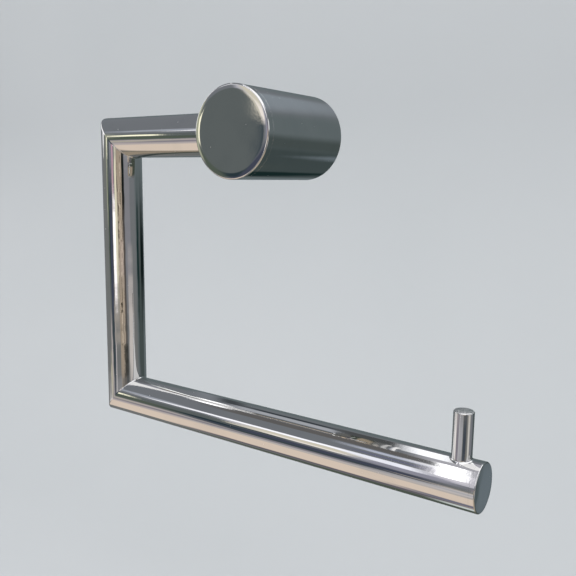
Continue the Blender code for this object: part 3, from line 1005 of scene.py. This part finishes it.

# %% [markdown]
# ## The room
# A mirror shows the room, so the room is painted, for mirrors only. A panorama picture would show
# one too, but a few soft patches of plain colour can each be placed and named. The bands on the real holder
# say what stands where: a beige floor in front, a dark wall behind, a bright window and a row of lamps, a
# dark door beside a crowded brown board. Each patch is placed by its direction from the holder, in degrees.
# "z" rows give height and turn about the vertical, which suits what the upright tubes show. "x" rows give
# the roll about the roll bar and the lean along it, which suits the bar. After these come half of each
# size, the softness of the edge and the colour. A row covers the rows before it. The list stops at 74,
# because the renderer turns the world black when its shader holds more than 75.

# %% What stands in the room
ROOM_ABOVE = (0.205, 0.22, 0.245, 1)
ROOM_BELOW = (0.2, 0.205, 0.205, 1)
HORIZON_LOW, HORIZON_HIGH = -20, 10
ROOM = [
    ("z", 0, 92, 28, 62, 8, (0.145, 0.175, 0.185)),  # wall
    ("z", 40, 80, 9, 26, 5, (0.28, 0.32, 0.36)),  # upper wall
    ("z", -12, 62, 9, 22, 6, (0.075, 0.095, 0.095)),  # lower wall
    ("z", -30, 80, 11, 40, 5, (0.06, 0.08, 0.082)),  # foot of the wall
    ("z", -24, 73, 4, 4, 2.5, (0.155, 0.19, 0.215)),  # beside the disc
    ("z", -31, 112, 5, 8, 3, (0.01, 0.025, 0.025)),  # shadow of the boss
    ("z", -6.5, 86, 4, 19, 3.5, (0.006, 0.012, 0.012)),  # shadow of the arm
    ("z", -6.5, 44, 4, 8, 3, (0.015, 0.035, 0.035)),  # its end
    ("z", -62, 80, 22, 75, 6, (0.09, 0.11, 0.09)),  # under the wall
    ("x", -65, -35, 28, 21, 3, (0.86, 0.72, 0.61)),  # beige floor
    ("x", -72, 26, 38, 26, 4, (0.5, 0.42, 0.33)),  # beige floor, right
    ("x", -92, -28, 7, 11.5, 3, (0.15, 0.14, 0.165)),  # dark line
    ("x", -79, -18, 7, 4.5, 3, (0.2, 0.2, 0.26)),  # dark line, end
    ("x", -101, -17.5, 7, 2, 1.5, (0.72, 0.78, 0.76)),  # pale line, end
    ("x", -29, -31, 9, 15, 3, (0.6, 0.56, 0.55)),  # grey step
    ("x", -22, -17.6, 9, 2.8, 1.5, (0.66, 0.62, 0.62)),  # grey step, end
    ("x", -31, -46, 13, 5, 3, (0.57, 0.51, 0.51)),  # lilac step
    ("x", 142, -33, 12, 7, 3, (0.18, 0.2, 0.22)),  # far ceiling
    ("x", 132, -37.2, 22, 1.0, 0.8, (0.07, 0.08, 0.09)),  # left column
    ("x", 135, -39.3, 27, 1.0, 0.9, (0.24, 0.26, 0.29)),  # left light
    ("x", 110, -32.5, 9, 4.6, 1.2, (0.46, 0.48, 0.53)),  # pale corner
    ("x", 127, -32, 5.5, 4.0, 2, (0.045, 0.055, 0.065)),  # dark, back
    ("x", 119, -25.6, 20, 2.5, 1.0, (0.09, 0.095, 0.1)),  # dark column
    ("x", 76, -29.5, 10, 9.0, 2.5, (0.145, 0.14, 0.14)),  # brown beam
    ("x", 93, -38.9, 12, 1.2, 1.0, (2.6, 2.6, 2.65)),  # tube lamp
    ("x", 57, -22.9, 5, 4.0, 2.2, (0.6, 0.64, 0.78)),  # pale blue band
    ("x", 42, -23.5, 3, 3.5, 1.5, (0.17, 0.18, 0.27)),  # blue line
    ("x", 119, -20.7, 19, 1.9, 1.4, (1.5, 1.52, 1.6)),  # back lamps
    ("x", 72, -16.2, 60, 1.8, 1.2, (0.5, 0.5, 0.56)),  # end of the bar
    ("x", 91, -19.3, 9, 2.4, 1.5, (0.5, 0.5, 0.55)),  # its ridge
    ("x", 34, -18.9, 22, 1.9, 1.5, (0.82, 0.8, 0.89)),  # key, low
    ("x", 60, -20.5, 4.5, 1.6, 1.2, (1.0, 1.0, 1.06)),  # key, wide
    ("x", 56, -18.9, 29, 0.95, 0.9, (2.8, 2.8, 2.9)),  # key
    ("x", 15, -28.5, 8, 9.2, 1.5, (0.6, 0.6, 0.68)),  # middle
    ("x", 9.5, -22.5, 8, 4, 2.5, (0.34, 0.34, 0.42)),  # right of it
    ("x", 26, -34.5, 3.7, 9.5, 1.6, (1.4, 1.4, 1.5)),  # row of lamps
    ("x", 24, -24.4, 7.5, 3.2, 1.5, (1.15, 1.17, 1.3)),  # lamp end
    ("x", -9, -30, 8.5, 10, 2.2, (0.07, 0.08, 0.12)),  # navy cloth
    ("x", -17.5, -31, 4.5, 6.5, 2.2, (0.055, 0.075, 0.085)),  # its lower part
    ("x", 4.0, -42.5, 10.5, 6.3, 1.2, (0.135, 0.155, 0.158)),  # door
    ("x", -6.8, -39.6, 4.2, 3.6, 1.5, (0.03, 0.05, 0.062)),  # navy step
    ("x", 3.5, -34.5, 3.5, 2.6, 1.2, (0.07, 0.09, 0.105)),  # dark jamb
    ("x", 9.6, -31.5, 3.2, 4.4, 1.3, (1.1, 1.02, 0.95)),  # lamp
    ("x", 16.5, -31.0, 5, 4.6, 2, (0.8, 0.75, 0.62)),  # cream
    ("x", 8.4, -35.6, 2.4, 1.5, 0.8, (0.74, 0.7, 0.6)),  # cream, left
    ("x", -7, -46, 7, 4.5, 2, (0.105, 0.13, 0.105)),  # dark olive
    ("x", 6, -47.2, 3.8, 2.1, 0.9, (1.4, 1.35, 1.05)),  # yellow lamp
    ("x", 8, -53.5, 14, 3.5, 2, (0.5, 0.52, 0.38)),  # green light
    ("x", 30, -45, 4.5, 3.8, 2, (0.42, 0.45, 0.52)),  # blue lamp
    ("z", -3, -163, 8, 17, 4, (0.205, 0.215, 0.21)),  # left wall
    ("z", -16.5, -146, 1.8, 9, 1.6, (0.55, 0.52, 0.42)),  # yellow edge
    ("z", 2.5, -101.3, 4.5, 4.8, 1.5, (0.62, 0.4, 0.48)),  # pink wall
    ("z", -6.4, -97.3, 4.3, 8.6, 1.5, (1.6, 1.52, 1.55)),  # window
    ("z", -3.5, -84, 6, 6.0, 2, (0.93, 0.87, 0.67)),  # cream board
    ("z", -11.5, -96, 1.6, 18, 1.5, (0.4, 0.37, 0.34)),  # board's foot
    ("z", -6, -61, 11, 16, 3, (0.45, 0.37, 0.29)),  # brown board
    ("z", -6.8, -56, 1.6, 9, 1.2, (0.6, 0.49, 0.42)),  # beige panel
    ("z", -1, -42, 3.6, 7, 2, (0.012, 0.015, 0.015)),  # black upright
    ("z", -8, -41, 5, 4, 2, (0.1, 0.085, 0.08)),  # its shade
    ("z", -15, -45, 1.8, 13, 2, (0.05, 0.05, 0.045)),  # low dark
    ("z", -2, -19, 8, 15, 4, (0.27, 0.27, 0.3)),  # lilac wall
    ("z", -13, -9.5, 4.5, 15, 4.5, (0.68, 0.63, 0.61)),  # pale skirting
    ("z", -21, -165, 2.8, 18, 3, (1.0, 0.96, 0.96)),  # low left
    ("z", -21, -129, 2.6, 13, 4, (0.22, 0.21, 0.26)),  # low lilac
    ("z", -21, -95, 2.6, 22, 4, (0.5, 0.5, 0.54)),  # low grey
    ("z", -21, -50, 2.6, 17, 4, (0.05, 0.065, 0.09)),  # low navy
    ("z", -21, -2, 2.6, 13, 7, (0.95, 0.92, 0.86)),  # low cream
    ("z", 14, 0, 10, 32, 4, (0.9, 0.9, 0.93)),  # foot of the pin
    ("z", -21, 26, 2.6, 23, 5, (0.23, 0.24, 0.275)),  # low right
    ("z", 53, 62, 9, 34, 3, (2.0, 2.05, 2.1)),  # overhead, right
    ("z", 53, -30, 9, 50, 4, (0.55, 0.57, 0.67)),  # overhead, front
    ("z", 88, 0, 12, 181, 3, (3.0, 3.0, 3.1)),  # zenith
    ("x", 60, -70, 50, 14, 3, (1.3, 1.3, 1.35)),  # lamps, left
    ("x", 75, 12, 52, 23, 3, (1.4, 1.4, 1.45)),  # lamps, right
]
BOARD = ("z", -6, -62, 9, 15, 3)
LUMP_TALL, LUMP_WIDE = 1.6, 7
CLUTTER = [
    ((0, 0, 0), 0.55, 0.62, (0.035, 0.03, 0.02, 1)),
    ((31, 17, 5), 0.56, 0.64, (0.78, 0.66, 0.54, 1)),
]
print("room of", len(ROOM), "patches")

# %% [markdown]
# A patch is a mask: how far a direction is from the patch's middle, compared with half of its size. The
# colours are mixed on one after the other. On the brown board two noises add what is pinned there: dark
# gaps and pale sheets.

# %% Painting the room


def vector_step(air, operation, *values):
    return air.add("ShaderNodeVectorMath", {"operation": operation}, dict(enumerate(values)))


def patch_mask(air, places, axis, first, second, tall, wide, soft):
    """1 inside the patch and 0 outside, with soft edges."""
    away = vector_step(air, "SUBTRACT", places[axis], (first, second, 0))
    away = vector_step(air, "WRAP", away, (180, 180, 180), (-180, -180, -180))
    away = vector_step(air, "ABSOLUTE", away)
    settings = {"data_type": "FLOAT_VECTOR", "interpolation_type": "SMOOTHSTEP"}
    starts, ends = (tall - soft, wide - soft, 1), (tall + soft, wide + soft, 2)
    inside = air.add("ShaderNodeMapRange", settings,
                     {6: away, 7: starts, 8: ends, 9: (1, 1, 1), 10: (0, 0, 0)}, output=1)
    sides = air.add("ShaderNodeSeparateXYZ", {}, {"Vector": inside})
    return sides.output("X") * sides.output("Y")


def paint_room(air):
    """Everything that mirrors see, as one colour by direction."""
    way = air.add("ShaderNodeTexCoord", output="Generated")
    parts = air.add("ShaderNodeSeparateXYZ", {}, {"Vector": way})
    x, y, z = (parts.output(name) for name in "XYZ")
    degrees = 180 / pi
    height, turn = x.math("ARCSINE", z) * degrees, x.math("ARCTAN2", y, x) * degrees
    roll, lean = x.math("ARCTAN2", z, 0 - y) * degrees, x.math("ARCSINE", x) * degrees
    places = {
        "z": air.add("ShaderNodeCombineXYZ", {}, {"X": height, "Y": turn}),
        "x": air.add("ShaderNodeCombineXYZ", {}, {"X": roll, "Y": lean}),
    }
    colour = air.mixed(height.above(HORIZON_LOW, HORIZON_HIGH), ROOM_BELOW, ROOM_ABOVE)
    for *patch, tint in ROOM:
        colour = air.mixed(patch_mask(air, places, *patch), colour, (*tint, 1))
    board = patch_mask(air, places, *BOARD)
    for shift, low, high, tint in CLUTTER:
        moved = vector_step(air, "MULTIPLY_ADD", places["z"], (1 / LUMP_TALL, 1 / LUMP_WIDE, 1), shift)
        lumps = air.add("ShaderNodeTexNoise", {}, {"Vector": moved, "Scale": 1.0, "Detail": 2.0})
        colour = air.mixed(board * lumps.above(low, high), colour, tint)
    return colour


print("widest soft edge:", 2 * max(row[5] for row in ROOM), "degrees")

# %% The world
PLAIN_AIR = (0.62, 0.64, 0.66, 1)

world = bpy.data.worlds.new("studio")
bpy.context.scene.world = world
world.use_nodes = True
air = Sheet(world.node_tree)
plain = air.add("ShaderNodeBackground", {}, {"Color": PLAIN_AIR})
room = air.add("ShaderNodeBackground", {}, {"Color": paint_room(air)})
glossy = air.add("ShaderNodeLightPath", output="Is Glossy Ray")
both = air.add("ShaderNodeMixShader", {}, {0: glossy, 1: plain, 2: room})
air.feed(world.node_tree.nodes["World Output"].inputs["Surface"], both)
print("world nodes:", len(world.node_tree.nodes))
